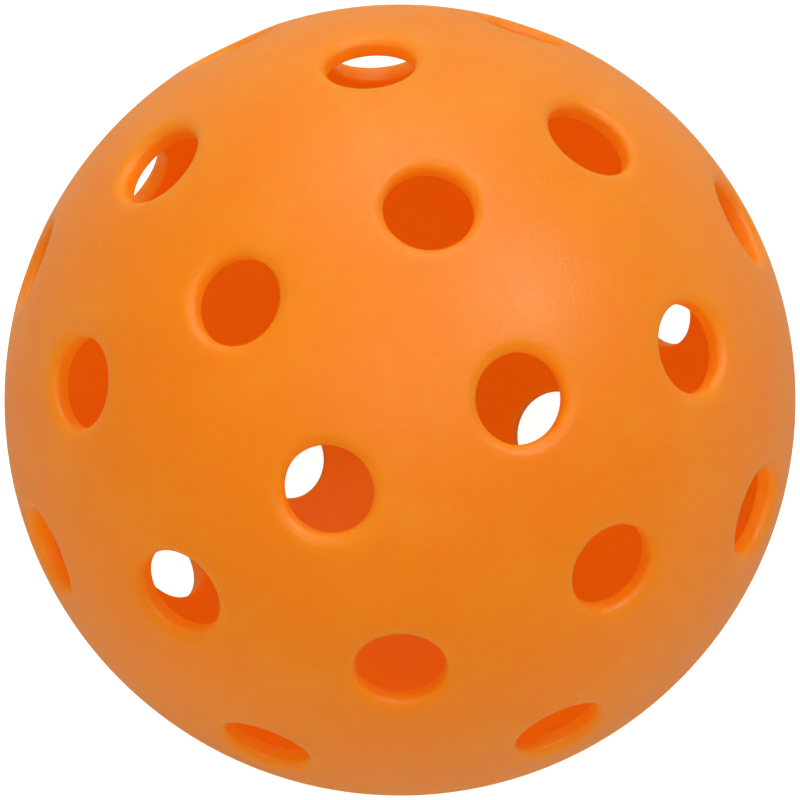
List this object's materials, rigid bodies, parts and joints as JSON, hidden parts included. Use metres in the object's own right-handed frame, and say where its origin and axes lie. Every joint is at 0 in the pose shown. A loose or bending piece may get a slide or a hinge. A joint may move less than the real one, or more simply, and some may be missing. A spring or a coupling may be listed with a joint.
{
  "type": "pickleball ball",
  "caption": "Hollow perforated plastic ball of two moulded half shells joined round the equator by a fused seam, with round holes in rings about each pole.",
  "frame": {"origin": "centre of the ball", "axes": "+Z from the centre out through the pole of the upper half, square to the seam; +X towards the first hole of the upper half's ring nearest the pole"},
  "size_m": [0.074, 0.074, 0.074],
  "materials": {
    "shell_plastic": "satin orange polyethylene, slightly translucent, with a fine moulded grain",
    "seam_plastic": "the same orange polyethylene, re-melted and a little smoother"
  },
  "bodies": {
    "root": {"upper_half_shell": "shell_plastic", "lower_half_shell": "shell_plastic", "weld_seam": "seam_plastic"}
  },
  "joints": []
}
